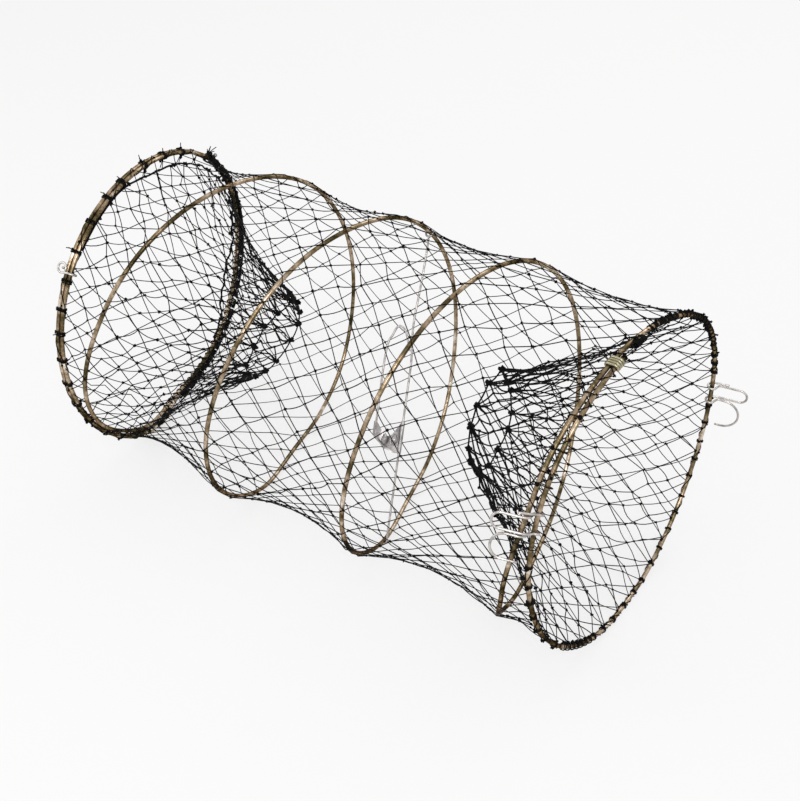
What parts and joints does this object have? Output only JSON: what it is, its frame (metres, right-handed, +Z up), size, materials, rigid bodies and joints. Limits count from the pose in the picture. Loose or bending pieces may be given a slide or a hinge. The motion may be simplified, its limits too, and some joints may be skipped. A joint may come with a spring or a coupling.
{
  "type": "crayfish trap",
  "caption": "Collapsible crayfish trap: a coiled spring wire between end rings, dressed in black net with funnel entrances, closing clips and a bait pin",
  "frame": {"origin": "on the ground under the middle of the trap", "axes": "+X along the trap's axis toward the right end ring, +Z up, -Y toward the near side"},
  "size_m": [0.5839, 0.3182, 0.3015],
  "materials": {
    "zinc_wire": "satin",
    "twine": "matte",
    "bright_wire": "satin",
    "bright_sheet": "satin"
  },
  "bodies": {
    "left_end": {"left_end_ring": "zinc_wire", "spring_coil": "zinc_wire", "body_net": "twine", "left_funnel_net": "twine", "left_throat_cord": "twine", "left_ring_lashing": "twine", "left_end_tie": "zinc_wire", "left_top_tie": "twine", "closing_loop_left": "bright_wire"},
    "right_end": {"right_end_ring": "zinc_wire", "right_funnel_net": "twine", "right_throat_cord": "twine", "right_ring_lashing_near": "twine", "right_ring_lashing_far": "twine", "right_end_tie": "zinc_wire"},
    "near_clip": {"closing_clip_near": "bright_wire"},
    "far_clip": {"closing_clip_far": "bright_wire"},
    "bait_hanger": {"bait_top_hook": "bright_wire"},
    "bait_holder": {"bait_wire": "bright_wire", "bait_catch": "bright_sheet"},
    "pin_arm": {"bait_pin": "bright_wire"}
  },
  "joints": [
    {"name": "collapse", "type": "slide", "parent": "left_end", "child": "right_end", "axis": [1, 0, 0], "range_m": [-0.44, 0], "stiffness_N_per_m": 25, "springref_m": 0.05, "deforming": ["spring_coil", "body_net", "left_funnel_net", "left_throat_cord", "right_funnel_net", "right_throat_cord"]},
    {"name": "bait_travel", "type": "slide", "parent": "left_end", "child": "bait_hanger", "axis": [1, 0, 0], "range_m": [-0.2158, 0]},
    {"name": "bait_tilt", "type": "hinge", "parent": "bait_hanger", "child": "bait_holder", "pos_m": [-0.02211, 0.11807, 0.24202], "axis": [0, 0.795, -0.6066], "range_deg": [0, 11.1]},
    {"name": "pin_swing", "type": "hinge", "parent": "bait_holder", "child": "pin_arm", "pos_m": [0.00089, 0.05158, 0.15488], "axis": [-0.8938, -0.4376, 0.098], "range_deg": [0, 25], "stiffness_Nm_per_rad": 0.05},
    {"name": "near_clip_swing", "type": "hinge", "parent": "right_end", "child": "near_clip", "pos_m": [0.21448, -0.12908, 0.21406], "axis": [0.0398, -0.4039, -0.914], "range_deg": [-152, 18]},
    {"name": "far_clip_swing", "type": "hinge", "parent": "right_end", "child": "far_clip", "pos_m": [0.25958, 0.15086, 0.15379], "axis": [0.0601, -0.0094, -0.9981], "range_deg": [-116, 4]}
  ],
  "couplings": [
    {"joint": "bait_travel", "follows": "collapse", "ratio": 0.489},
    {"joint": "bait_tilt", "follows": "collapse", "rad_per_m": -0.436}
  ]
}
